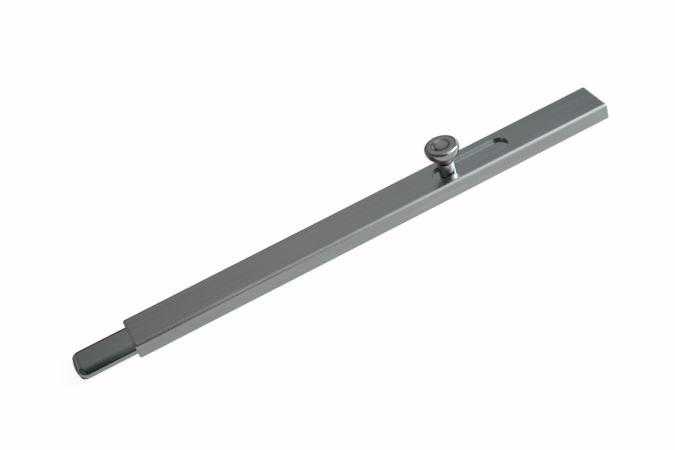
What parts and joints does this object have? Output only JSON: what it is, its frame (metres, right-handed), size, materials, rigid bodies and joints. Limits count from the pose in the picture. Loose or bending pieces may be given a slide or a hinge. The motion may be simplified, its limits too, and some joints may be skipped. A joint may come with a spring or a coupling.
{
  "type": "cane bolt",
  "caption": "Surface-mounted slide bolt: a flat round-shouldered bar that a mushroom knob slides through a slotted channel housing.",
  "frame": {"origin": "centre of the housing's back face, in the plane that lies against the door leaf", "axes": "+Z away from the door leaf, along the knob's axis; +X along the bolt towards its tail, so the nose points to -X; +Y across the housing"},
  "size_m": [0.3395, 0.026, 0.0284],
  "materials": {
    "housing_metal": "satin, brushed along its length",
    "plate_metal": "plain mill finish",
    "bar_metal": "smooth satin",
    "knob_metal": "turned and polished",
    "screw_metal": "plain",
    "spring_metal": "blued spring steel"
  },
  "bodies": {
    "case": {"housing": "housing_metal", "back_plate": "plate_metal", "end_plug": "housing_metal", "end_plug_screw": "screw_metal"},
    "bolt": {"bolt_bar": "bar_metal", "friction_spring": "spring_metal", "spring_rivet": "screw_metal", "knob_sleeve": "knob_metal", "knob": "knob_metal", "knob_screw": "screw_metal"}
  },
  "joints": [
    {"name": "bolt_slide", "type": "slide", "parent": "case", "child": "bolt", "axis": [1, 0, 0], "range_m": [-0.0042, 0.0343]}
  ]
}
